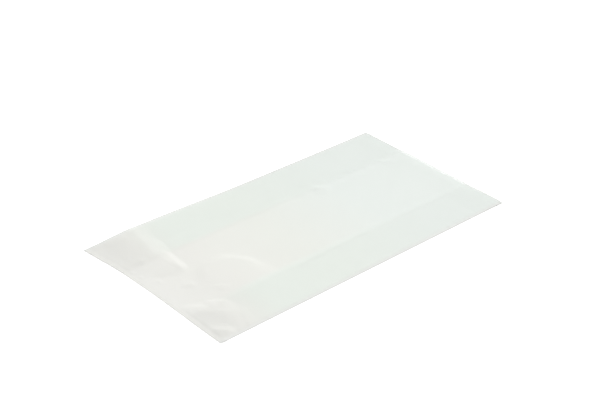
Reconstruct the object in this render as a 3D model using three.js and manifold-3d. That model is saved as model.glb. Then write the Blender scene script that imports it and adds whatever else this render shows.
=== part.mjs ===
// A flat poly bag: a tube of clear film with a gusset folded into each long side, sealed across one end
// and open at the other, lying empty on its back. Millimetres, +Z up. The sealed end faces -X, the open
// mouth +X, and the origin is under the middle of the bag, on the surface that it lies on.
import * as THREE from "three";
import Module from "manifold-3d";

const { smoothstep, lerp } = THREE.MathUtils;

// The flat bag
const bagLength = 300;
const faceWidth = 150;
const gussetDepth = 40;
const gussetShift = 2; // how much deeper the gusset at +Y is folded in, and the one at -Y less deep
const filmThickness = 0.06;
const sealWidth = 3;

// Air between neighbouring layers of the gussets. They press together by the seal, at the outer folds and
// part of the way at the mouth.
const looseAir = 0.2;
const pressedAir = 0.04;
const settleLength = 28;
const pressedBand = 4;
const mouthSettleLength = 16;
const mouthSettled = 0.5;

// More air lies under the middle of the upper face, which steps down to the gusset's layers from stepIn
// before the inner fold to stepOut after it
const middleAir = 0.8;
const middleSettleLength = 75;
const stepIn = 5.5;
const stepOut = 0.5;

// The shrunken seal draws the film in, most behind the middle of the bag
const sealBow = 2.8;
const sealBowReach = 34;
const bowFront = [-86, 14];
const bowBack = [77, 33];

// Creases that the seal has left in the film. Each runs through its crest points. There along is measured
// from the sealed end and across from the middle of the bag. The film falls away from the crest over
// nearFall towards the seal and over farFall towards the mouth.
const crest = (along, across, height, nearFall, farFall) => ({ along, across, height, nearFall, farFall });
const pastMouth = bagLength + 4; // the mouth's side creases have their crests just beyond it
const insideMouth = bagLength - 1; // and the middle one has its crest just inside it
const creases = [
  {
    crestRound: 1.4,
    crests: [
      crest(44, 84, 1.8, 29, 24),
      crest(42, 74, 2.4, 31, 20),
      crest(40.5, 65, 2.55, 32, 16),
      crest(38.5, 56, 2.3, 33, 14),
      crest(37, 44, 1.85, 33, 12),
      crest(37, 31, 1.25, 31, 9),
      crest(37.5, 18, 0.95, 27, 7),
      crest(38, 9.5, 0.7, 24, 6),
      crest(39.5, 4, 0.05, 18, 5),
    ],
  },
  {
    crestRound: 6,
    crests: [
      crest(44, 80, 2.1, 36, 40),
      crest(75, 80, 1.9, 36, 38),
      crest(105, 80, 1.2, 34, 34),
      crest(145, 80, 0.1, 30, 30),
    ],
  },
  {
    crestRound: 0.8,
    crests: [
      crest(4.5, -31.5, 0.1, 6, 7),
      crest(8, -35, 0.4, 11, 10),
      crest(12, -38, 0.75, 17, 13),
      crest(16, -41.3, 1.0, 23, 14.5),
      crest(21, -45, 1.15, 28, 15.5),
      crest(26, -49, 1.2, 28, 15.5),
      crest(31, -52.4, 1.0, 26, 14),
      crest(35.7, -55.2, 0.65, 24, 11),
      crest(40.5, -57.5, 0.1, 20, 8),
    ],
  },
  {
    crestRound: 3,
    crests: [
      crest(pastMouth, -84, 1.0, 38, 36),
      crest(pastMouth, -54, 1.1, 36, 30),
      crest(pastMouth, -40, 0.4, 30, 30),
    ],
  },
  {
    crestRound: 3,
    crests: [crest(pastMouth, 62, 0.5, 24, 24), crest(pastMouth, 40, 0.4, 22, 22)],
  },
  {
    crestRound: 3,
    crests: [crest(insideMouth, -28, 0.45, 26, 8), crest(insideMouth, 30, 0.45, 26, 8)],
  },
];
const creaseBlend = 3;
const creaseStart = 7; // the creases rise over this length from the seal's inner edge
const innerFoldShare = 0.2; // how much of a crease reaches the gusset's inner fold, under the face

// A low pillow of air under the upper face, with a narrow rim behind and a wide one in front
const pillow = { height: 0.9, along: 62, across: -19, radius: 25, backRim: 6, frontRim: 20 };
const pillowBack = new THREE.Vector2(0.45, 0.9);
const pillowBlend = 0.6;

// How finely the film is divided
const upperFaceSteps = 30;
const lowerFaceSteps = 9;
const leafSteps = 5;
const foldSteps = 4;
const stationSteps = [
  { reach: 45, step: 3.5 },
  { reach: 84, step: 6.5 },
  { reach: 145, step: 15.3 },
  { reach: bagLength - mouthSettleLength, step: 46.33 },
  { reach: bagLength, step: 5.34 },
];

// The seal fills the stack between the two outer films, and its melted bead stands out past their cut
// edges
const sealInset = 0.02;
const sealSpan = [-0.05, sealWidth - 0.1];

const halfWidth = faceWidth / 2;

// How far from the middle the gusset's inner fold lies, on the side of a point.
function innerFold(across) {
  return halfWidth - gussetDepth - Math.sign(across) * gussetShift;
}

// The air between neighbouring layers of the gussets.
function airGap(along, across) {
  const opened = smoothstep(along, sealWidth, sealWidth + settleLength);
  const closing = mouthSettled * smoothstep(along, bagLength - mouthSettleLength, bagLength);
  const pressed = smoothstep(Math.abs(across), halfWidth - pressedBand, halfWidth - 0.5);
  return lerp(pressedAir, looseAir, opened * (1 - closing) * (1 - pressed));
}

// The height of one stretch of a crease over a point: two nearly flat flanks and a rounded crest.
function stretchHeight(first, last, crestRound, along, across) {
  const start = new THREE.Vector2(first.along, first.across);
  const run = new THREE.Vector2(last.along, last.across).sub(start);
  const point = new THREE.Vector2(along, across).sub(start);
  const share = THREE.MathUtils.clamp(point.dot(run) / run.lengthSq(), 0, 1);
  const away = point.clone().sub(run.clone().multiplyScalar(share));
  const distance = Math.hypot(away.length(), crestRound) - crestRound;
  const mouthSide = smoothstep(away.x / Math.max(away.length(), 1e-6), -0.5, 0.5);
  const nearFall = lerp(first.nearFall, last.nearFall, share);
  const farFall = lerp(first.farFall, last.farFall, share);
  const fall = lerp(nearFall, farFall, mouthSide);
  return lerp(first.height, last.height, share) * Math.max(0, 1 - distance / fall);
}

// The height of one crease over a point.
function creaseHeight({ crests, crestRound }, along, across) {
  const stretches = crests.slice(1).map((last, i) =>
    stretchHeight(crests[i], last, crestRound, along, across));
  return Math.max(...stretches);
}

// The height of the pillow of air over a point.
function pillowHeight(along, across) {
  const away = new THREE.Vector2(along - pillow.along, across - pillow.across);
  const distance = away.length();
  const behind = away.dot(pillowBack) / Math.max(distance, 1e-6);
  const rim = lerp(pillow.frontRim, pillow.backRim, smoothstep(behind, -pillowBlend, pillowBlend));
  return pillow.height * (1 - smoothstep(distance, pillow.radius - rim, pillow.radius + rim));
}

// How high the creases and the pillow lift the upper face over where it would lie flat. Where two meet,
// the higher one counts most, so that they run into each other without a step.
function relief(along, across) {
  const heights = creases.map((crease) => creaseHeight(crease, along, across));
  heights.push(pillowHeight(along, across));
  const powers = heights.reduce((sum, height) => sum + height ** creaseBlend, 0);
  return powers ** (1 / creaseBlend) * smoothstep(along, sealWidth, sealWidth + creaseStart);
}

// The middle of each film layer: 0 the lower face, 1 and 2 the gusset's two leaves, 3 the upper face.
function layerHeight(layer, along, across) {
  const pitch = filmThickness + airGap(along, across);
  const ground = filmThickness / 2;
  const inner = innerFold(across);
  const leafShare = smoothstep(Math.abs(across), inner, halfWidth);
  const lifted = relief(along, across);
  if (layer === 0) return ground;
  if (layer === 1) return ground + pitch + lifted * innerFoldShare * (1 - leafShare);
  if (layer === 2) return ground + 2 * pitch + lifted * lerp(innerFoldShare, 1, leafShare);
  const middle = pitch + middleAir * smoothstep(along, sealWidth, sealWidth + middleSettleLength);
  const held = smoothstep(Math.abs(across), inner - stepIn, inner + stepOut);
  return ground + lerp(middle, 3 * pitch, held) + lifted;
}

// One place on the film: its point across and up, and the direction out of the bag.
function place(across, up, outAcross, outUp) {
  const length = Math.hypot(outAcross, outUp);
  return { across, up, outAcross: outAcross / length, outUp: outUp / length };
}

// Places along one layer from one distance across to another. side is 1 where the outside is above.
function layerPlaces(layer, along, start, end, steps, side) {
  const places = [];
  const nudge = 0.5;
  for (let i = 0; i <= steps; i++) {
    const across = lerp(start, end, i / steps);
    const rise = layerHeight(layer, along, across + nudge) - layerHeight(layer, along, across - nudge);
    places.push(place(across, layerHeight(layer, along, across), (-rise / (2 * nudge)) * side, side));
  }
  return places;
}

// The half circle between two layers at a fold. reach is 1 where the fold points to +Y, and side is 1
// where the outside of the bag is on the outside of the fold.
function foldPlaces(first, last, reach, side) {
  const middle = (first.up + last.up) / 2;
  const radius = (last.up - first.up) / 2;
  const places = [];
  for (let i = 1; i < foldSteps; i++) {
    const turn = (Math.PI * i) / foldSteps;
    const outwards = Math.sin(turn) * reach;
    const upwards = -Math.cos(turn);
    const across = first.across + Math.abs(radius) * outwards;
    const out = Math.sign(radius) * upwards;
    places.push(place(across, middle + radius * upwards, outwards * side, out * side));
  }
  return places;
}

// The section of the bag at one distance along, once round from the lower face at -Y: the lower face,
// the gusset at +Y, the upper face and the gusset at -Y.
function section(along) {
  const foldRoom = (filmThickness + pressedAir) / 2;
  const edge = halfWidth - foldRoom - filmThickness / 2;
  const [back, front] = [innerFold(1) + filmThickness, innerFold(-1) + filmThickness];
  const runs = [
    { places: layerPlaces(0, along, -edge, edge, lowerFaceSteps, -1), reach: 1, side: 1 },
    { places: layerPlaces(1, along, edge, back, leafSteps, 1), reach: -1, side: -1 },
    { places: layerPlaces(2, along, back, edge, leafSteps, -1), reach: 1, side: 1 },
    { places: layerPlaces(3, along, edge, -edge, upperFaceSteps, 1), reach: -1, side: 1 },
    { places: layerPlaces(2, along, -edge, -front, leafSteps, -1), reach: 1, side: -1 },
    { places: layerPlaces(1, along, -front, -edge, leafSteps, 1), reach: -1, side: 1 },
  ];
  return runs.flatMap((run, i) => {
    const next = runs[(i + 1) % runs.length];
    return [...run.places, ...foldPlaces(run.places.at(-1), next.places[0], run.reach, run.side)];
  });
}

// How far the shrunken seal draws the film towards the mouth.
function drawnIn(along, across) {
  const crosswise = smoothstep(across, ...bowFront) * smoothstep(-across, -bowBack[0], -bowBack[1]);
  return sealBow * crosswise * (1 - smoothstep(along, 0, sealBowReach));
}

// A point of the bag in its own frame.
function point(along, across, up) {
  return [along + drawnIn(along, across) - bagLength / 2, across, up];
}

// The distances from the sealed end at which the film has a section: close together by the seal.
function stations() {
  const list = [0, sealWidth];
  stationSteps.forEach(({ reach, step }) => {
    while (list.at(-1) < reach) list.push(Math.min(list.at(-1) + step, reach));
  });
  return list;
}

// A geometry from rings of points, each ring joined to the next and the last to the first.
function ringGeometry(rings) {
  const count = rings[0].length;
  const index = [];
  rings.forEach((ring, r) => {
    const after = (r + 1) % rings.length;
    ring.forEach((_, i) => {
      const j = (i + 1) % count;
      const [a, b, c, d] = [r * count + i, r * count + j, after * count + j, after * count + i];
      index.push(a, b, d, b, c, d);
    });
  });
  const geometry = new THREE.BufferGeometry();
  geometry.setAttribute("position", new THREE.Float32BufferAttribute(rings.flat(2), 3));
  geometry.setIndex(index);
  return geometry;
}

// The folded tube of film, open at both ends: its outside from the seal to the mouth, the cut edge of
// the mouth, its inside back to the seal and the cut edge there.
function tubeGeometry() {
  const skin = (along, side) =>
    section(along).map(({ across, up, outAcross, outUp }) => {
      const shift = (side * filmThickness) / 2;
      return point(along, across + outAcross * shift, up + outUp * shift);
    });
  const list = stations();
  const outside = list.map((along) => skin(along, 1));
  const inside = list.map((along) => skin(along, -1));
  return ringGeometry([...outside, ...inside.reverse()]);
}

// The outline of the seal's strip at one distance along, once round: its underside and its top.
function sealOutline(along) {
  const edge = halfWidth - filmThickness / 2;
  const shift = filmThickness / 2 - sealInset;
  const run = (layer, start, end, steps, lift) =>
    Array.from({ length: steps + 1 }, (_, i) => {
      const across = lerp(start, end, i / steps);
      return { across, up: layerHeight(layer, along, across) + lift };
    });
  return [
    ...run(0, -edge, edge, lowerFaceSteps, -shift),
    ...run(3, edge, -edge, upperFaceSteps, shift),
  ];
}

// The band where the layers are melted together: a solid strip between the two outer films.
function sealGeometry() {
  const outlines = sealSpan.map(sealOutline);
  const count = outlines[0].length;
  const points = sealSpan.flatMap((along, i) =>
    outlines[i].map(({ across, up }) => point(along, across, up)));
  const index = [];
  for (let i = 0; i < count; i++) {
    const j = (i + 1) % count;
    index.push(i, j, count + i, j, count + j, count + i);
  }
  outlines.forEach((outline, i) => {
    const shape = outline.map(({ across, up }) => new THREE.Vector2(across, up));
    THREE.ShapeUtils.triangulateShape(shape, []).forEach(([a, b, c]) => {
      if (i === 0) index.push(a, c, b);
      else index.push(count + a, count + b, count + c);
    });
  });
  const geometry = new THREE.BufferGeometry();
  geometry.setAttribute("position", new THREE.Float32BufferAttribute(points.flat(), 3));
  geometry.setIndex(index);
  return geometry;
}

const wasm = await Module();
wasm.setup();

function solidOf(geometry) {
  const vertProperties = new Float32Array(geometry.getAttribute("position").array);
  const triVerts = new Uint32Array(geometry.index.array);
  return new wasm.Manifold(new wasm.Mesh({ numProp: 3, vertProperties, triVerts }));
}

function geometryOf(solid) {
  const mesh = solid.getMesh();
  const geometry = new THREE.BufferGeometry();
  geometry.setAttribute("position", new THREE.Float32BufferAttribute(mesh.vertProperties, 3));
  geometry.setIndex(Array.from(mesh.triVerts));
  geometry.computeVertexNormals();
  return geometry;
}

// Clear film looks milky where it lies in layers.
const film = new THREE.MeshStandardMaterial({
  color: 0xecefe9,
  roughness: 0.3,
  metalness: 0,
  transparent: true,
  opacity: 0.6,
  side: THREE.DoubleSide,
});

const bag = new THREE.Mesh(geometryOf(solidOf(tubeGeometry()).add(solidOf(sealGeometry()))), film);
bag.name = "bag";

const flatPolyBag = new THREE.Group();
flatPolyBag.add(bag);

export default flatPolyBag;
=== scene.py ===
"""The looks of a flat poly bag: a side-gusseted tube of clear film, sealed across one end, lying empty.

Lengths on the bag are in millimetres. Along runs from the sealed end to the open mouth, across from the
middle of the bag, positive towards the long edge that lies further from the camera, and up from the floor.
"""

import logging
import math
from dataclasses import dataclass, field
from enum import Enum, IntEnum

import bpy
import numpy as np
from mathutils import Matrix, Vector


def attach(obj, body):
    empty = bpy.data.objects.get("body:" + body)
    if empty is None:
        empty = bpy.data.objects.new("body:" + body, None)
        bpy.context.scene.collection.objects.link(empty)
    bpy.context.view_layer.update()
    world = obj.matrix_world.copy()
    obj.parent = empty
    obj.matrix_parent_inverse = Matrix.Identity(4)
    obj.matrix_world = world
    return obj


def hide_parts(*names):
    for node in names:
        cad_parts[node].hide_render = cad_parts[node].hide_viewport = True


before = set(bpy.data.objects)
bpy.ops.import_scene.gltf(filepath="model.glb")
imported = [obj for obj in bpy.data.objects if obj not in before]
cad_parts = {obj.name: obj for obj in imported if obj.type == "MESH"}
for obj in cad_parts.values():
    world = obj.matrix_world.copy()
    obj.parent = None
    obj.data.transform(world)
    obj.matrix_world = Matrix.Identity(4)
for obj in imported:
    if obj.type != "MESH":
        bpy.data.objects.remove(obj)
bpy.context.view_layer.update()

Amount = float | np.ndarray
LOG = logging.getLogger("flat_poly_bag")
MM = 0.001
TINY = 1e-6
MIXED_COLOUR = 2        # the number of a Mix node's colour output


class MixSocket(IntEnum):
    """The inputs of a Mix node, which go by number because they share their names."""

    SHARE = 0
    FIRST_VALUE = 2
    SECOND_VALUE = 3
    FIRST_COLOUR = 6
    SECOND_COLOUR = 7


def linear(hex_colour: str) -> tuple[float, float, float, float]:
    """Turn an sRGB hex colour into linear RGBA.

    Args:
        hex_colour: six hex digits, such as "ecefe9".

    Returns:
        Red, green, blue and an alpha of 1, in linear light.
    """
    parts = [int(hex_colour[i : i + 2], 16) / 255 for i in (0, 2, 4)]
    red, green, blue = (p / 12.92 if p <= 0.04045 else ((p + 0.055) / 1.055) ** 2.4 for p in parts)
    return red, green, blue, 1.0


def add_node(tree: bpy.types.NodeTree, kind: str, settings: dict | None = None,
             links: dict | None = None) -> bpy.types.Node:
    """Add one shader node.

    Args:
        tree: the node tree that gets it.
        kind: the node's type name.
        settings: socket names, socket numbers or attribute names, and their values.
        links: socket names or numbers, and the output sockets that feed them.

    Returns:
        The new node.
    """
    node = tree.nodes.new(kind)
    for name, value in (settings or {}).items():
        if isinstance(name, int) or name in node.inputs:
            node.inputs[name].default_value = value
        else:
            setattr(node, name, value)
    for name, source in (links or {}).items():
        tree.links.new(source, node.inputs[name])
    return node


def new_tree(owner: bpy.types.Material | bpy.types.World) -> bpy.types.NodeTree:
    """Give a material or a world an empty node tree.

    Args:
        owner: the material or world.

    Returns:
        Its node tree.
    """
    owner.use_nodes = True
    owner.node_tree.nodes.clear()
    return owner.node_tree


def smooth(value: np.ndarray, low: float, high: float) -> np.ndarray:
    """Smooth step from 0 at low to 1 at high."""
    share = np.clip((value - low) / (high - low), 0, 1)
    return share * share * (3 - 2 * share)


def mix(first: Amount, second: Amount, share: Amount) -> Amount:
    """Blend from first at a share of 0 to second at 1."""
    return first + (second - first) * share


def new_piece(name: str, points: np.ndarray, faces: np.ndarray, finish: bpy.types.Material) -> bpy.types.Object:
    """Make one object of the bag.

    Args:
        name: the piece's name.
        points: its corners, in millimetres.
        faces: four corner numbers a face.
        finish: its material.

    Returns:
        The piece's object.
    """
    mesh = bpy.data.meshes.new(name)
    mesh.from_pydata((points * MM).tolist(), [], faces.tolist())
    mesh.materials.append(finish)
    mesh.update()
    piece = bpy.data.objects.new(name, mesh)
    bpy.context.collection.objects.link(piece)
    return piece


@dataclass(frozen=True)
class Crest:
    """One point on a crease: where it is, how high, and how far the film falls away on each side.

    The near side is the one towards the sealed end, and the far side the one towards the mouth.
    """

    along: float
    across: float
    height: float
    near_fall: float
    far_fall: float


@dataclass(frozen=True)
class Crease:
    """A crest in the film with nearly flat flanks, through points in order."""

    crests: tuple[Crest, ...]
    crest_round: float
    side_blend: float = 0.5

    def lift(self, along: np.ndarray, across: np.ndarray) -> np.ndarray:
        """Height of the crease over each point, from the part of the crest that is nearest to it.

        Args:
            along: distances from the sealed end.
            across: distances from the middle.

        Returns:
            Heights in millimetres.
        """
        lift = np.zeros(np.broadcast(along, across).shape)
        nearest = np.full(lift.shape, np.inf)
        for one, two in zip(self.crests, self.crests[1:]):
            run_a, run_c = two.along - one.along, two.across - one.across
            share = ((along - one.along) * run_a + (across - one.across) * run_c) / (run_a**2 + run_c**2)
            share = np.clip(share, 0, 1)
            off_a = along - one.along - share * run_a
            off_c = across - one.across - share * run_c
            away = np.hypot(off_a, off_c)
            distance = np.hypot(away, self.crest_round) - self.crest_round
            side = smooth(off_a / np.maximum(away, TINY), -self.side_blend, self.side_blend)
            near = mix(one.near_fall, two.near_fall, share)
            far = mix(one.far_fall, two.far_fall, share)
            height = mix(one.height, two.height, share)
            sloped = height * np.clip(1 - distance / mix(near, far, side), 0, 1)
            lift = np.where(distance < nearest, sloped, lift)
            nearest = np.minimum(nearest, distance)
        return lift


@dataclass(frozen=True)
class Pillow:
    """A low pillow of air under the upper face. Its rim is narrow to the back and wide to the front."""

    height: float
    along: float
    across: float
    radius: float
    back_rim: float
    front_rim: float
    back: tuple[float, float] = (0.45, 0.9)
    rim_blend: float = 0.6

    def lift(self, along: np.ndarray, across: np.ndarray) -> np.ndarray:
        """Height of the pillow over each point.

        Args:
            along: distances from the sealed end.
            across: distances from the middle.

        Returns:
            Heights in millimetres.
        """
        off_a, off_c = along - self.along, across - self.across
        distance = np.hypot(off_a, off_c)
        towards_back = (self.back[0] * off_a + self.back[1] * off_c) / np.maximum(distance, TINY)
        rim = mix(self.front_rim, self.back_rim, smooth(towards_back, -self.rim_blend, self.rim_blend))
        return self.height * (1 - smooth(distance, self.radius - rim, self.radius + rim))


def creases() -> tuple[Crease | Pillow, ...]:
    """The large forms: they lift the upper face and the gussets' upper leaves.

    Returns:
        The creases, the pillow of air and the lifted places at the mouth.
    """
    return (
        # the long crease, from the back edge to the middle
        Crease((
            Crest(43, 84, 1.1, 38, 20), Crest(41.5, 75, 1.85, 37, 17), Crest(40.5, 67, 1.95, 36, 15),
            Crest(38.8, 57, 1.65, 34.5, 13), Crest(36.5, 46, 1.4, 32.5, 13), Crest(34.5, 38, 1.3, 30.5, 12.5),
            Crest(34.8, 31, 1.15, 29, 11), Crest(36.8, 21, 1.0, 24, 8), Crest(37.8, 13, 0.85, 15, 6),
            Crest(38.2, 9, 0.4, 8, 4.5), Crest(38.5, 6.5, 0.02, 5, 3),
        ), 2.2),
        # the swell that it leaves along the back edge
        Crease((
            Crest(44, 81, 2.2, 27, 30), Crest(75, 81, 1.95, 28, 28), Crest(105, 82, 1.25, 28, 28),
            Crest(145, 82, 0.1, 26, 26),
        ), 5.0),
        # the crease across the front corner
        Crease((
            Crest(4.5, -31.5, 0.05, 6, 7), Crest(8, -35, 0.25, 12, 9), Crest(12, -38, 0.55, 20, 12),
            Crest(16, -41.3, 0.85, 26, 14), Crest(21, -45, 1.1, 30, 15.5), Crest(26, -49, 1.1, 28, 15.5),
            Crest(31, -52.4, 0.8, 26, 14), Crest(35.7, -55.2, 0.4, 24, 12), Crest(42, -57.5, 0.05, 20, 10),
        ), 0.8),
        Pillow(0.8, 62, -19, 25, 4.5, 20),
        # the mouth, lifted in the front band, in the back band and a little between them
        Crease((
            Crest(304, -82, 0.05, 28, 24), Crest(304, -73, 0.5, 30, 24), Crest(304, -64, 1.0, 32, 30),
            Crest(304, -54, 0.95, 30, 30), Crest(304, -38, 0.3, 28, 30),
        ), 3.0),
        Crease((Crest(304, 62, 0.5, 24, 24), Crest(304, 40, 0.4, 22, 22)), 3.0),
        Crease((Crest(299, -28, 0.45, 26, 8), Crest(299, 30, 0.45, 26, 8)), 3.0),
    )


def wrinkles() -> tuple[Crease | Pillow, ...]:
    """Small wrinkles of the upper face alone.

    Returns:
        The wrinkles, and one shallow dent.
    """
    return (
        # the front corner: a short bright fold, and the dent behind it
        Crease((
            Crest(4, -58.5, 0.02, 6, 5), Crest(7, -61.5, 0.4, 7, 5.5), Crest(10, -64.3, 0.65, 10, 6),
            Crest(13, -67.5, 0.65, 10, 6), Crest(17, -71.5, 0.05, 6, 4),
        ), 0.5),
        Crease((
            Crest(2, -71.5, 0.1, 2.4, 2), Crest(4.5, -74, 0.5, 2.6, 2.2), Crest(7, -77, 0.3, 2.4, 2),
        ), 0.4),
        Pillow(-0.35, 15, -58.5, 7, 7, 4.5),
        # along the front crease
        Crease((
            Crest(5, -27, 0.02, 6, 3), Crest(9, -30, 0.35, 10, 4), Crest(15, -33.5, 0.35, 10, 4),
            Crest(21, -36.5, 0.02, 6, 3),
        ), 0.6),
        Crease((
            Crest(22, -31.5, 0.02, 5, 3), Crest(26, -33.5, 0.28, 8, 3.5), Crest(31, -36.5, 0.2, 8, 3.5),
            Crest(35, -41, 0.28, 8, 3.5), Crest(39, -45, 0.02, 5, 3),
        ), 0.5),
        # the back corner and the flank of the long crease
        Crease((
            Crest(14, 71, 0.05, 14, 7), Crest(22, 68, 0.36, 26, 5.5), Crest(31, 64, 0.42, 30, 6),
            Crest(38, 57, 0.05, 14, 7),
        ), 1.0),
        Crease((Crest(22, 41, 0.02, 6, 5), Crest(21, 36, 0.24, 11, 7), Crest(20, 31, 0.02, 6, 5)), 0.5),
        Crease((
            Crest(41, 39, 0.02, 8, 4), Crest(42, 32, 0.34, 7, 4.2), Crest(41, 25, 0.22, 6, 4.2),
            Crest(40.5, 15, 0.26, 4, 4), Crest(39.5, 9, 0.02, 3, 3),
        ), 0.6),
        # the middle, near the seal
        Crease((Crest(31, -13, 0.02, 3, 3), Crest(31.5, -8.5, 0.26, 9, 3.4), Crest(33.5, -4, 0.02, 3, 3)), 0.5),
        Crease((Crest(15, 9, 0.18, 3, 2.2), Crest(11, 10, 0.05, 3, 2)), 0.5),
        Crease((Crest(40, -21, 0.03, 3, 2.4), Crest(46, -25, 0.2, 5, 3), Crest(51, -28, 0.03, 3, 2.4)), 0.6),
        Crease((
            Crest(3.5, 31.5, 0.02, 2, 1.6), Crest(5.5, 29.5, 0.2, 2.6, 1.8), Crest(8, 27.5, 0.02, 2, 1.6),
        ), 0.3),
        Crease((Crest(5, 23, 0.02, 2, 1.6), Crest(7.5, 21, 0.22, 2.6, 1.8), Crest(9.5, 19.5, 0.02, 2, 1.6)), 0.3),
        # over the inner fold of the back gusset
        Crease((
            Crest(128, 31, 0.02, 5, 4), Crest(145, 31.5, 0.28, 7, 5), Crest(160, 32, 0.28, 7, 5),
            Crest(176, 32, 0.02, 5, 4),
        ), 0.5),
        Crease((
            Crest(194, 36, 0.02, 6, 4), Crest(198.5, 32, 0.6, 10, 4.6), Crest(203.5, 28.3, 0.6, 10, 4.6),
            Crest(208, 25.2, 0.02, 6, 4),
        ), 0.4),
        Crease((Crest(190, 45, 0.02, 3, 2), Crest(194, 42, 0.22, 5, 2.2), Crest(199, 38.5, 0.02, 3, 2)), 0.4),
        Crease((
            Crest(266, 36, 0.02, 3, 2), Crest(271, 32, 0.22, 5, 2.4), Crest(278, 27, 0.22, 5, 2.4),
            Crest(283, 23.5, 0.02, 3, 2),
        ), 0.4),
    )


class Layer(Enum):
    """The film's layers, from the floor up."""

    LOWER_FACE = 0
    LOWER_LEAF = 1
    UPPER_LEAF = 2
    UPPER_FACE = 3


@dataclass(frozen=True)
class Run:
    """One straight run across a section of the film, and the side to which the fold at its end stands out."""

    layer: Layer
    start: float
    end: float
    steps: int
    fold_side: int


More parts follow.
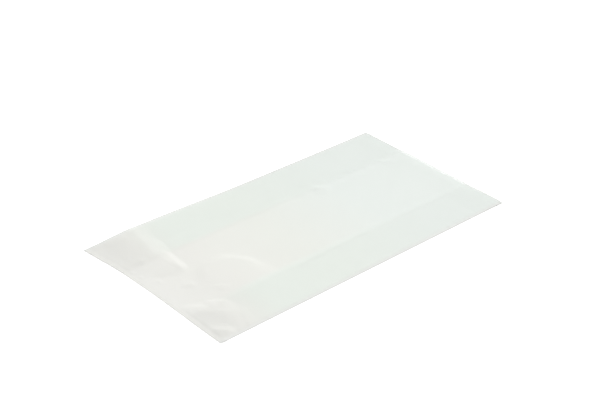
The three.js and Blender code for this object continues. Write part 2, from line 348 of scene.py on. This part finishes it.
@dataclass
class GussetedFilm:
    """The folded tube of film: two faces, and a gusset of two leaves in each long side.

    The gussets differ in depth by twice gusset_shift: the back one is the deeper one.
    """

    # the flat bag
    length: float = 300.0
    width: float = 150.0
    gusset: float = 40.0
    gusset_shift: float = 2.0
    thickness: float = 0.06
    seal_width: float = 3.0

    # air between neighbouring layers, and the lengths over which they come apart
    loose_air: float = 0.15
    pressed_air: float = 0.02
    edge_band: float = 4.0
    edge_pressed: float = 0.5
    settle: float = 28.0
    mouth_settle: float = 16.0
    mouth_closing: float = 0.5

    # more air under the middle of the upper face, which steps down to the gussets' layers
    middle_air: float = 0.8
    middle_settle: float = 75.0
    step_width: float = 3.5

    # the shrunken seal draws the film in, less towards the front edge and the back edge
    seal_bow: float = 2.8
    seal_bow_reach: float = 34.0
    bow_front: tuple[float, float] = (-86.0, 14.0)
    bow_back: tuple[float, float] = (-77.0, -33.0)

    # how the creases and wrinkles join, start at the seal and reach the inner folds
    crease_blend: float = 3.0
    crease_start: float = 4.0
    wrinkle_start: tuple[float, float] = (1.0, 6.0)
    inner_fold_share: float = 0.2

    # how finely the film is divided
    near_step: float = 1.0
    far_step: float = 2.5
    near_reach: float = 104.0
    face_steps: int = 110
    lower_face_steps: int = 36
    leaf_steps: int = 16
    lower_leaf_steps: int = 10
    fold_steps: int = 5

    creases: tuple[Crease | Pillow, ...] = field(default_factory=creases)
    wrinkles: tuple[Crease | Pillow, ...] = field(default_factory=wrinkles)

    def inner_fold(self, across: np.ndarray) -> np.ndarray:
        """How far from the middle the gusset's inner fold lies, on the side of each point."""
        inner = self.width / 2 - self.gusset
        return np.where(across > 0, inner - self.gusset_shift, inner + self.gusset_shift)

    def opened(self, along: np.ndarray, settle: float) -> np.ndarray:
        """How far the layers have come apart: 0 at the seal, and 1 further on.

        Args:
            along: distances from the sealed end.
            settle: the length over which they come apart.

        Returns:
            Shares from 0 to 1.
        """
        return smooth(along, self.seal_width, self.seal_width + settle)

    def air(self, along: np.ndarray, across: np.ndarray) -> np.ndarray:
        """Air between neighbouring layers. They press together by the seal and at the outer folds.

        Args:
            along: distances from the sealed end.
            across: distances from the middle.

        Returns:
            Gaps in millimetres.
        """
        half = self.width / 2
        closing = self.mouth_closing * smooth(along, self.length - self.mouth_settle, self.length)
        pressed = smooth(np.abs(across), half - self.edge_band, half - self.edge_pressed)
        free = self.opened(along, self.settle) * (1 - closing) * (1 - pressed)
        return mix(self.pressed_air, self.loose_air, free)

    def relief(self, along: np.ndarray, across: np.ndarray) -> np.ndarray:
        """How high the creases lift the upper face."""
        powers = sum(c.lift(along, across) ** self.crease_blend for c in self.creases)
        return powers ** (1 / self.crease_blend) * self.opened(along, self.crease_start)

    def bow(self, along: np.ndarray, across: np.ndarray) -> np.ndarray:
        """How far the shrunken seal draws the film in, most behind the middle."""
        crosswise = smooth(across, *self.bow_front) * smooth(-across, *self.bow_back)
        return self.seal_bow * crosswise * (1 - smooth(along, 0, self.seal_bow_reach))

    def height(self, layer: Layer, along: np.ndarray, across: np.ndarray) -> np.ndarray:
        """Height of the middle of a film layer.

        Args:
            layer: which layer.
            along: distances from the sealed end.
            across: distances from the middle.

        Returns:
            Heights in millimetres.
        """
        half, inner = self.width / 2, self.inner_fold(across)
        pitch = self.thickness + self.air(along, across)
        ground = self.thickness / 2
        if layer is Layer.LOWER_FACE:
            return np.full_like(pitch, ground)
        lifted = self.relief(along, across)
        leaf = smooth(np.abs(across) - inner, 0, half - inner)
        if layer is Layer.LOWER_LEAF:
            return ground + pitch + lifted * self.inner_fold_share * (1 - leaf)
        if layer is Layer.UPPER_LEAF:
            return ground + 2 * pitch + lifted * mix(self.inner_fold_share, 1, leaf)
        held = smooth(np.abs(across) - inner, -self.step_width, self.step_width)
        small = sum(w.lift(along, across) for w in self.wrinkles) * smooth(along, *self.wrinkle_start)
        middle = pitch + self.middle_air * self.opened(along, self.middle_settle)
        return ground + mix(middle, 3 * pitch, held) + lifted + small

    def stations(self) -> np.ndarray:
        """Distances from the sealed end at which the film has a section.

        Returns:
            Distances in order, close together by the seal.
        """
        near = np.arange(0, self.near_reach, self.near_step)
        far = np.linspace(self.near_reach, self.length, int((self.length - self.near_reach) / self.far_step))
        return np.concatenate([near, far])

    def loop(self, along: np.ndarray) -> np.ndarray:
        """Points once round the middle of the film at every station.

        Args:
            along: the stations.

        Returns:
            An array of station by place by (along, across, up).
        """
        edge = self.width / 2 - (self.thickness + self.pressed_air) / 2 - self.thickness / 2
        back = self.width / 2 - self.gusset - self.gusset_shift + self.thickness
        front = self.width / 2 - self.gusset + self.gusset_shift + self.thickness
        runs = (
            Run(Layer.LOWER_FACE, -edge, edge, self.lower_face_steps, 1),
            Run(Layer.LOWER_LEAF, edge, back, self.lower_leaf_steps, -1),
            Run(Layer.UPPER_LEAF, back, edge, self.leaf_steps, 1),
            Run(Layer.UPPER_FACE, edge, -edge, self.face_steps, -1),
            Run(Layer.UPPER_LEAF, -edge, -front, self.leaf_steps, 1),
            Run(Layer.LOWER_LEAF, -front, -edge, self.lower_leaf_steps, -1),
        )
        laid = []
        for run in runs:
            shares = np.linspace(0, 1, run.steps + 1)
            station, across = np.meshgrid(along, mix(run.start, run.end, shares), indexing="ij")
            laid.append((across, self.height(run.layer, station, across)))
        acrosses, heights = [], []
        turns = np.pi * np.arange(1, self.fold_steps)[None, :] / self.fold_steps
        for run, (across, up), (_, next_up) in zip(runs, laid, laid[1:] + laid[:1]):
            first, last = up[:, -1:], next_up[:, :1]
            bend = (last - first) / 2
            out = np.abs(bend) * np.sin(turns) * run.fold_side
            acrosses += [across, across[:, -1:] + out]
            heights += [up, (first + last) / 2 - bend * np.cos(turns)]
        across, up = np.concatenate(acrosses, axis=1), np.concatenate(heights, axis=1)
        station = along[:, None]
        return np.stack([station + self.bow(station, across), across, up], axis=2)

    def skins(self) -> np.ndarray:
        """The outside and the inside of the film, as one closed row of rings: out, and back inside.

        Returns:
            An array of ring by place by (along, across, up).
        """
        middle = self.loop(self.stations())
        round_about = np.roll(middle, -1, axis=1) - np.roll(middle, 1, axis=1)
        lengthwise = np.gradient(middle, axis=0)
        normal = np.cross(round_about, lengthwise)
        normal /= np.linalg.norm(normal, axis=2, keepdims=True)
        shift = normal * self.thickness / 2
        return np.concatenate([middle - shift, (middle + shift)[::-1]])

    def build(self, finish: bpy.types.Material) -> bpy.types.Object:
        """Make the film as one closed solid and dress it.

        Args:
            finish: the film's material.

        Returns:
            The film's object.
        """
        points = self.skins()
        points[:, :, 0] -= self.length / 2
        rows, count = points.shape[:2]
        index = np.arange(rows * count).reshape(rows, count)
        after = np.roll(index, -1, axis=0)
        quads = np.stack([index, np.roll(index, -1, axis=1), np.roll(after, -1, axis=1), after], axis=2)
        # the film is cut square at both ends, so those faces aren't shaded smooth
        cut = np.zeros((rows, count), dtype=bool)
        cut[[rows // 2 - 1, rows - 1]] = True
        film = new_piece("film", points.reshape(-1, 3), quads[:, :, ::-1].reshape(-1, 4), finish)
        film.data.polygons.foreach_set("use_smooth", ~cut.reshape(-1))
        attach(film, "root")
        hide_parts("bag")
        return film


@dataclass
class HeatSeal:
    """The strip where all the layers are melted together, with the crimp of the sealing jaws in it."""

    film: GussetedFilm
    overhang: float = 0.05
    proud: float = 0.012
    crimp_pitch: float = 1.5
    crimp_depth: float = 0.03
    step: float = 0.3

    def crimp(self, along: np.ndarray, across: np.ndarray) -> np.ndarray:
        """Depth of the crimp's dots, in rows that are offset from each other.

        Args:
            along: distances from the sealed end.
            across: distances from the middle.

        Returns:
            Depths in millimetres.
        """
        row = np.floor(along / self.crimp_pitch)
        along_wave = np.sin(np.pi * along / self.crimp_pitch) ** 2
        across_wave = np.sin(np.pi * (across / self.crimp_pitch + row / 2)) ** 2
        return self.crimp_depth * along_wave * across_wave

    def build(self, finish: bpy.types.Material) -> bpy.types.Object:
        """Make the strip as one closed solid and dress it.

        Args:
            finish: the strip's material.

        Returns:
            The strip's object.
        """
        film = self.film
        edge = film.width / 2 - film.thickness / 2
        along, across = np.meshgrid(
            np.linspace(-self.overhang, film.seal_width, round(film.seal_width / self.step) + 1),
            np.linspace(-edge, edge, round(2 * edge / self.step) + 1), indexing="ij",
        )
        held = np.maximum(along, 0)
        top = film.height(Layer.UPPER_FACE, held, across) + film.thickness / 2 + self.proud
        top -= self.crimp(held, across)
        place = np.stack([along + film.bow(held, across) - film.length / 2, across, top], axis=2)
        under = place.copy()
        under[:, :, 2] = 0.0
        rows, count = top.shape
        index = np.arange(rows * count).reshape(rows, count)
        sheet = np.stack([index[:-1, :-1], index[1:, :-1], index[1:, 1:], index[:-1, 1:]], axis=2).reshape(-1, 4)
        rim = np.concatenate([index[0, :], index[1:, -1], index[-1, -2::-1], index[-2:0:-1, 0]])
        rim_below = rim + rows * count
        walls = np.stack([rim, np.roll(rim, -1), np.roll(rim_below, -1), rim_below], axis=1)
        quads = np.concatenate([sheet, (sheet + rows * count)[:, ::-1], walls])
        seal = new_piece("seal", np.concatenate([place.reshape(-1, 3), under.reshape(-1, 3)]), quads, finish)
        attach(seal, "root")
        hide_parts("bag")
        return seal


@dataclass(frozen=True)
class Polyethylene:
    """Blown low-density polyethylene film: clear but milky, with a soft sheen.

    It was blown as a tube and drawn along its length, which leaves faint lines and thicker and thinner
    streaks that way. Where it lies in four layers it looks a little greener and deeper than in two. Each
    tint stands at its place along the bag, from 0 at the sealed end to 1 at the mouth. The middle's drift
    along the bag is painted light: warmer and a little darker by the sealed end, cooler towards the mouth.
    """

    length: float = 300.0
    width: float = 150.0

    # the middle, the four-layer bands from band_start to band_full, and where along the bag they begin
    # painted light: the middle's tints are warmer and a little darker by the sealed end, cooler towards the mouth
    tints: tuple[tuple[float, str], ...] = ((0.0, "fbfbf7"), (0.2, "fbfbf6"), (0.42, "fafcf6"), (0.7, "f8fdf9"))
    band_tints: tuple[tuple[float, str], ...] = ((0.2, "fafff9"), (0.45, "fafff9"), (0.8, "fafffb"))
    band_start: float = 31.0
    band_full: float = 38.0
    band_near: tuple[float, float] = (25.0, 70.0)

    # painted shade: darker tints along the folded long edges and at the cut edge of the mouth, and how far in
    # they reach
    fold_painted_shade: str = "fafbf8"
    rim_width: float = 5.0
    mouth_painted_shade: str = "eef0ec"
    mouth_width: float = 3.0

    # a smooth plastic's gloss, blurred by the film's own unevenness, and a milky see-through
    roughness: float = 0.3
    roughness_spread: float = 0.12
    ior: float = 1.51
    cover: float = 0.87

    # real die lines are finer than a millimetre: these are as coarse as they need to be to show
    die_line_width: float = 2.4
    die_line_stretch: float = 30.0
    die_line_share: float = 0.3
    crinkle_size: float = 5.0
    cloud_size: float = 34.0
    cloud_depth: float = 0.012
    relief: float = 0.004

    @staticmethod
    def ramp(tree: bpy.types.NodeTree, along: bpy.types.Node,
             tints: tuple[tuple[float, str], ...]) -> bpy.types.NodeSocket:
        """A colour that runs through the tints along the bag.

        Args:
            tree: the material's node tree.
            along: the node whose result is 0 at the sealed end and 1 at the mouth.
            tints: places from 0 to 1, and the colour at each.

        Returns:
            The colour socket.
        """
        drift = add_node(tree, "ShaderNodeValToRGB", links={"Fac": along.outputs["Result"]})
        stops = drift.color_ramp.elements
        while len(stops) < len(tints):
            stops.new(0.5)
        for stop, (position, colour) in zip(stops, tints):
            stop.position = position
            stop.color = linear(colour)
        return drift.outputs["Color"]

    def tint(self, tree: bpy.types.NodeTree, place: bpy.types.Node) -> bpy.types.NodeSocket:
        """The film's colour, which deepens in the four-layer bands and drifts along the bag in painted light.

        Args:
            tree: the material's node tree.
            place: the node that separates the object's coordinates, in metres.

        Returns:
            The colour socket.
        """
        along = add_node(tree, "ShaderNodeMapRange", {
            "From Min": -self.length / 2 * MM, "From Max": self.length / 2 * MM,
        }, {"Value": place.outputs["X"]})
        # painted light: the middle's tint drifts along the bag, warmer and darker by the seal, cooler by the
        # mouth
        middle_tint, band_tint = (self.ramp(tree, along, stops) for stops in (self.tints, self.band_tints))
        off_middle = add_node(tree, "ShaderNodeMath", {"operation": "ABSOLUTE"}, {0: place.outputs["Y"]})
        band = add_node(tree, "ShaderNodeMapRange", {
            "interpolation_type": "SMOOTHSTEP", "From Min": self.band_start * MM, "From Max": self.band_full * MM,
        }, {"Value": off_middle.outputs[0]})
        clear = add_node(tree, "ShaderNodeMapRange", {
            "interpolation_type": "SMOOTHSTEP", "From Min": self.band_near[0] / self.length,
            "From Max": self.band_near[1] / self.length,
        }, {"Value": along.outputs["Result"], "To Max": band.outputs["Result"]})
        tint_and_painted_light = add_node(tree, "ShaderNodeMix", {"data_type": "RGBA"},
                             {MixSocket.SHARE: clear.outputs["Result"], MixSocket.FIRST_COLOUR: middle_tint,
                              MixSocket.SECOND_COLOUR: band_tint}).outputs[MIXED_COLOUR]
        folded, cut = (add_node(tree, "ShaderNodeMapRange", {
            "interpolation_type": "SMOOTHSTEP", "From Min": (reach - width) * MM, "From Max": reach * MM,
        }, {"Value": source}).outputs["Result"] for reach, width, source in (
            (self.width / 2, self.rim_width, off_middle.outputs[0]),
            (self.length / 2, self.mouth_width, place.outputs["X"]),
        ))
        # painted shade: the folded long edges and the mouth's cut edge are tinted darker
        for share, rim in ((folded, self.fold_painted_shade), (cut, self.mouth_painted_shade)):
            settings = {"data_type": "RGBA", MixSocket.SECOND_COLOUR: linear(rim)}
            tint_and_painted_light = add_node(tree, "ShaderNodeMix", settings, {
                MixSocket.SHARE: share, MixSocket.FIRST_COLOUR: tint_and_painted_light,
            }).outputs[MIXED_COLOUR]
        return tint_and_painted_light

    def material(self) -> bpy.types.Material:
        """The film's material.

        Returns:
            The material, with its nodes.
        """
        made = bpy.data.materials.new("blown polyethylene film")
        tree = new_tree(made)
        spot = add_node(tree, "ShaderNodeTexCoord")
        place = add_node(tree, "ShaderNodeSeparateXYZ", links={0: spot.outputs["Object"]})
        # one noise cell is a die line wide across the bag, and many times as long along it
        drawn = add_node(tree, "ShaderNodeMapping", {"Scale": (1 / self.die_line_stretch, 1.0, 1.0)},
                         {"Vector": spot.outputs["Object"]})
        lines = add_node(tree, "ShaderNodeTexNoise", {
            "Scale": 1 / (self.die_line_width * MM), "Detail": 2.0, "Roughness": 0.6,
        }, {"Vector": drawn.outputs["Vector"]})
        crinkle = add_node(tree, "ShaderNodeTexNoise", {
            "Scale": 1 / (self.crinkle_size * MM), "Detail": 3.0, "Roughness": 0.55,
        }, {"Vector": spot.outputs["Object"]})
        cloud = add_node(tree, "ShaderNodeTexNoise", {
            "Scale": 1 / (self.cloud_size * MM), "Detail": 2.0,
        }, {"Vector": spot.outputs["Object"]})
        shade = add_node(tree, "ShaderNodeMapRange", {
            "To Min": 1 - self.cloud_depth / 2, "To Max": 1 + self.cloud_depth / 2,
        }, {"Value": cloud.outputs["Fac"]})
        colour = add_node(tree, "ShaderNodeMix", {
            "data_type": "RGBA", "blend_type": "MULTIPLY", MixSocket.SHARE: 1.0,
        }, {MixSocket.FIRST_COLOUR: self.tint(tree, place), MixSocket.SECOND_COLOUR: shade.outputs["Result"]})
        gloss = add_node(tree, "ShaderNodeMapRange", {
            "To Min": self.roughness, "To Max": self.roughness + self.roughness_spread,
        }, {"Value": lines.outputs["Fac"]})
        height = add_node(tree, "ShaderNodeMath", {"operation": "MULTIPLY_ADD", 1: self.die_line_share},
                          {0: lines.outputs["Fac"], 2: crinkle.outputs["Fac"]})
        bump = add_node(tree, "ShaderNodeBump", {"Strength": 1.0, "Distance": self.relief * MM},
                        {"Height": height.outputs[0]})
        # a layer of film is two skins, and together they cover as much as cover says
        skin_cover = 1 - math.sqrt(1 - self.cover)
        shader = add_node(tree, "ShaderNodeBsdfPrincipled", {"IOR": self.ior, "Alpha": skin_cover}, {
            "Base Color": colour.outputs[MIXED_COLOUR], "Roughness": gloss.outputs["Result"],
            "Normal": bump.outputs["Normal"],
        })
        add_node(tree, "ShaderNodeOutputMaterial", links={"Surface": shader.outputs["BSDF"]})
        return made


@dataclass
class Studio:
    """The floor, the light and the camera."""

    # the camera, in pixels, degrees and millimetres
    image_width: int = 600
    sensor_width: float = 36.0
    focal_pixels: float = 1527.75
    elevation: float = 30.21
    azimuth: float = -46.64
    roll: float = 4.29
    distance: float = 1195.5
    target: tuple[float, float] = (25.67, 28.14)
    nearest_seen: float = 10.0

    # the floor, in metres
    floor_size: float = 6.0
    floor_colour: str = "e6e6e6"
    floor_glow: float = 0.85

    # the light all round, and what gloss mirrors: bright low down, dimmer overhead
    world_strength: float = 0.6448
    backdrop_low: float = 0.2
    backdrop_high: float = 0.8
    backdrop_bright: float = 0.8
    room_bright: float = 0.4

    # the key light
    key_strength: float = 0.45
    key_angle: float = 30.0
    key_direction: tuple[float, float, float] = (0.92, 0.25, 0.66)

    def camera(self) -> None:
        """Place the camera at the photograph's viewing angle."""
        elev, azim, roll = (math.radians(v) for v in (self.elevation, self.azimuth, self.roll))
        back = Vector((math.sin(azim) * math.cos(elev), -math.cos(azim) * math.cos(elev), math.sin(elev)))
        right = Vector((0, 0, 1)).cross(back).normalized()
        up = back.cross(right)
        turned_right = right * math.cos(roll) + up * math.sin(roll)
        turned_up = up * math.cos(roll) - right * math.sin(roll)
        eye = Vector((self.target[0], self.target[1], 0)) * MM + back * self.distance * MM
        lens = bpy.data.cameras.new("camera")
        lens.sensor_width = self.sensor_width
        lens.lens = self.focal_pixels / self.image_width * self.sensor_width
        lens.clip_start = self.nearest_seen * MM
        camera = bpy.data.objects.new("camera", lens)
        rotation = Matrix((turned_right, turned_up, back)).transposed().to_4x4()
        camera.matrix_world = Matrix.Translation(eye) @ rotation
        bpy.context.collection.objects.link(camera)
        bpy.context.scene.camera = camera

    def floor(self) -> None:
        """Lay a pale floor that the camera sees as white, and that keeps the object's shadow."""
        half = self.floor_size / 2
        mesh = bpy.data.meshes.new("floor")
        corners = [(-half, -half, 0), (half, -half, 0), (half, half, 0), (-half, half, 0)]
        mesh.from_pydata(corners, [], [(0, 1, 2, 3)])
        made = bpy.data.materials.new("white paper sweep")
        tree = new_tree(made)
        diffuse = add_node(tree, "ShaderNodeBsdfDiffuse", {"Color": linear(self.floor_colour)})
        path = add_node(tree, "ShaderNodeLightPath")
        seen = path.outputs["Is Camera Ray"]
        for ray in ("Is Glossy Ray", "Is Transmission Ray"):
            either = add_node(tree, "ShaderNodeMath", {"operation": "MAXIMUM"}, {0: seen, 1: path.outputs[ray]})
            seen = either.outputs[0]
        glow = add_node(tree, "ShaderNodeMath", {"operation": "MULTIPLY", 1: self.floor_glow}, {0: seen})
        light = add_node(tree, "ShaderNodeEmission", links={"Strength": glow.outputs[0]})
        both = add_node(tree, "ShaderNodeAddShader", links={0: diffuse.outputs[0], 1: light.outputs[0]})
        add_node(tree, "ShaderNodeOutputMaterial", links={"Surface": both.outputs[0]})
        mesh.materials.append(made)
        floor = bpy.data.objects.new("floor", mesh)
        bpy.context.collection.objects.link(floor)

    def world(self) -> None:
        """Soft light from all round, with a backdrop that is white to the camera and bright low down in gloss."""
        world = bpy.data.worlds.new("studio")
        bpy.context.scene.world = world
        tree = new_tree(world)
        path = add_node(tree, "ShaderNodeLightPath")
        place = add_node(tree, "ShaderNodeTexCoord")
        height = add_node(tree, "ShaderNodeSeparateXYZ", links={0: place.outputs["Generated"]})
        mirrored = add_node(tree, "ShaderNodeMapRange", {
            "From Min": self.backdrop_low, "From Max": self.backdrop_high,
            "To Min": self.backdrop_bright, "To Max": self.room_bright,
        }, {"Value": height.outputs["Z"]})
        shown = add_node(tree, "ShaderNodeMix", {
            "data_type": "FLOAT", MixSocket.FIRST_VALUE: self.world_strength,
        }, {MixSocket.SHARE: path.outputs["Is Glossy Ray"], MixSocket.SECOND_VALUE: mirrored.outputs["Result"]})
        strength = add_node(tree, "ShaderNodeMapRange", {"To Max": 1.0},
                            {"Value": path.outputs["Is Camera Ray"], "To Min": shown.outputs[0]})
        light = add_node(tree, "ShaderNodeBackground", {"Color": linear("ffffff")},
                         {"Strength": strength.outputs["Result"]})
        add_node(tree, "ShaderNodeOutputWorld", links={"Surface": light.outputs[0]})

    def key(self) -> None:
        """A broad soft light from beyond the mouth. Gloss doesn't mirror it."""
        lamp = bpy.data.lights.new("key", "SUN")
        lamp.angle = math.radians(self.key_angle)
        direction = Vector(self.key_direction).normalized()
        lamp.energy = self.key_strength * math.pi / direction.z
        key = bpy.data.objects.new("key", lamp)
        key.rotation_euler = direction.to_track_quat("Z", "Y").to_euler()
        key.visible_glossy = False
        bpy.context.collection.objects.link(key)

    def build(self) -> None:
        """Set up the camera, the floor and the light."""
        self.camera()
        self.floor()
        self.world()
        self.key()
        bpy.context.scene.view_settings.view_transform = "Standard"


def main() -> None:
    """Build the bag and its studio, and note the sizes."""
    logging.basicConfig(level=logging.INFO, format="%(name)s: %(message)s")
    Studio().build()
    film = GussetedFilm()
    finish = Polyethylene(film.length, film.width).material()
    for piece in (film.build(finish), HeatSeal(film).build(finish)):
        LOG.info("%s: %d faces", piece.name, len(piece.data.polygons))


if __name__ == "__main__":
    main()
